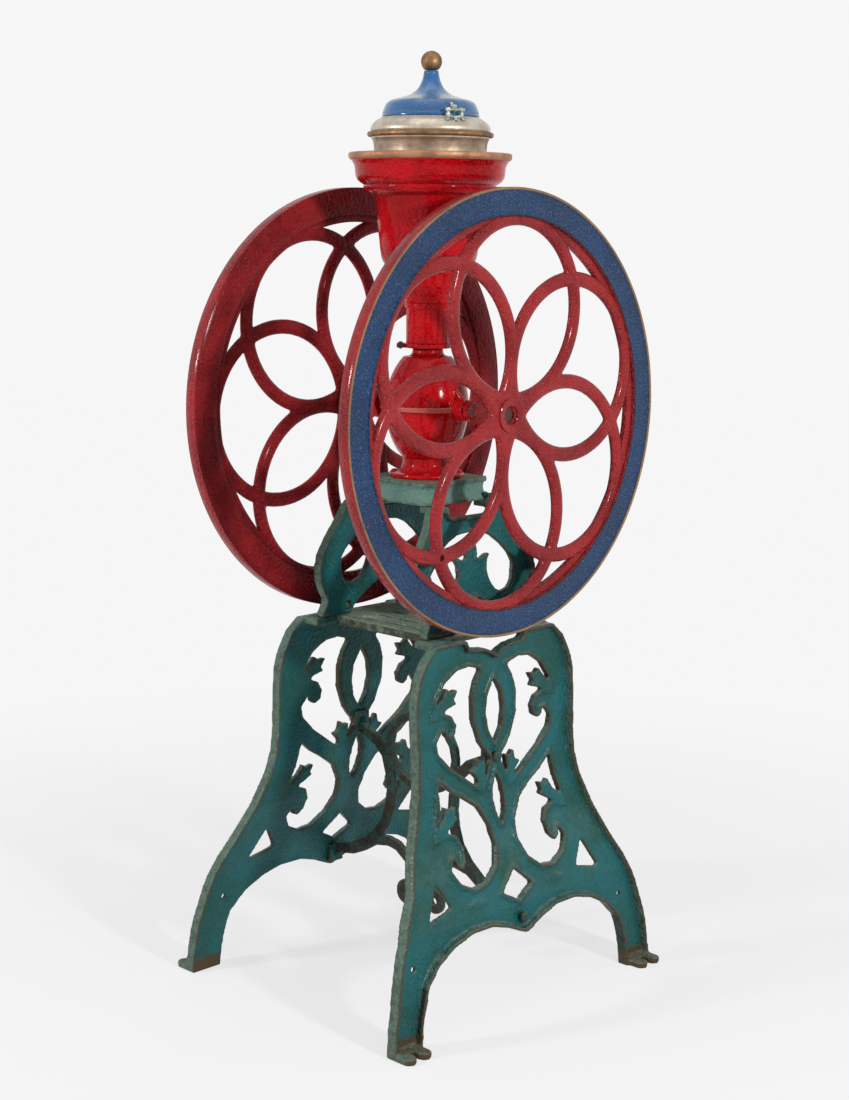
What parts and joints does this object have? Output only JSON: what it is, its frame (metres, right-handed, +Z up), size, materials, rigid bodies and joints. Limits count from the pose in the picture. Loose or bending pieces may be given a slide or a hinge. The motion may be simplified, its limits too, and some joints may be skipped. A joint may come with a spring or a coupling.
{
  "type": "two wheel coffee mill",
  "caption": "Floor-standing hand coffee mill: pierced cast stand, grinding case on a yoke, bean hopper with domed hinged lid, and hand wheels of overlapping circles.",
  "frame": {"origin": "on the floor, in the middle between the four feet and under the middle of the shaft", "axes": "+X along the shaft towards the near hand wheel, +Y across the wheels, +Z up"},
  "size_m": [0.6102, 0.762, 1.6459],
  "materials": {
    "stand_green": "old teal green enamel, worn to rust on edges, ribs and feet",
    "case_red": "glossy deep red enamel",
    "wheel_red": "red enamel over sand-cast texture, blue face ring and gold edge line",
    "dome_silver": "satin nickel plate",
    "lid_blue": "glossy blue enamel",
    "rim_copper": "copper brown paint, satin",
    "bronze": "dull aged brass",
    "bare_steel": "dark worn steel"
  },
  "bodies": {
    "stand": {"end_frame_near": "stand_green", "end_frame_far": "stand_green", "cross_brace": "stand_green", "shelf_grille": "stand_green", "yoke_plate_near": "stand_green", "yoke_plate_far": "stand_green", "pedestal_block": "stand_green", "brace_bolt_upper_near": "bare_steel", "brace_bolt_upper_far": "bare_steel", "brace_bolt_lower_near": "bare_steel", "brace_bolt_lower_far": "bare_steel", "yoke_foot_bolt_1": "bare_steel", "yoke_foot_bolt_2": "bare_steel", "yoke_foot_bolt_3": "bare_steel", "yoke_foot_bolt_4": "bare_steel", "block_knob_1": "stand_green", "block_knob_2": "stand_green", "block_knob_3": "stand_green", "block_knob_4": "stand_green", "case_lower": "case_red", "case_upper": "case_red", "case_foot_bolt_1": "bare_steel", "case_foot_bolt_2": "bare_steel", "case_foot_bolt_3": "bare_steel", "case_foot_bolt_4": "bare_steel", "near_bush": "bronze", "clamp_ring": "case_red", "clamp_screw": "bare_steel", "hopper_neck": "case_red", "hopper_throat": "case_red", "hopper_bowl": "case_red", "hopper_rim": "rim_copper", "hopper_dome": "dome_silver", "dome_band": "bronze", "hinge_base": "stand_green", "hinge_pin": "bare_steel"},
    "drive": {"main_shaft": "bare_steel", "shaft_collar": "bare_steel", "feed_screw": "bare_steel", "rotating_burr": "bare_steel", "wheel_near": "wheel_red", "wheel_far": "wheel_red", "hub_pin_near": "bare_steel", "hub_pin_far": "bare_steel"},
    "lid_body": {"lid": "lid_blue", "finial_ball": "bronze", "hinge_leaf": "stand_green"},
    "burr_sleeve": {"adjusting_sleeve": "bare_steel", "fixed_burr": "bare_steel"},
    "grind_nut": {"adjusting_nut": "bare_steel"}
  },
  "joints": [
    {"name": "shaft_spin", "type": "hinge", "parent": "stand", "child": "drive", "pos_m": [0, 0, 1.0355], "axis": [1, 0, 0], "continuous": true},
    {"name": "lid_hinge", "type": "hinge", "parent": "stand", "child": "lid_body", "pos_m": [0.08839, -0.032, 1.5433], "axis": [0.3404, 0.9403, 0], "range_deg": [0, 110]},
    {"name": "nut_turn", "type": "hinge", "parent": "stand", "child": "grind_nut", "pos_m": [-0.107, 0, 1.0355], "axis": [-1, 0, 0], "range_deg": [0, 270]},
    {"name": "sleeve_slide", "type": "slide", "parent": "stand", "child": "burr_sleeve", "axis": [-1, 0, 0], "range_m": [0, 0.0015]}
  ],
  "couplings": [
    {"joint": "nut_turn", "follows": "sleeve_slide", "rad_per_m": 3141.5}
  ]
}
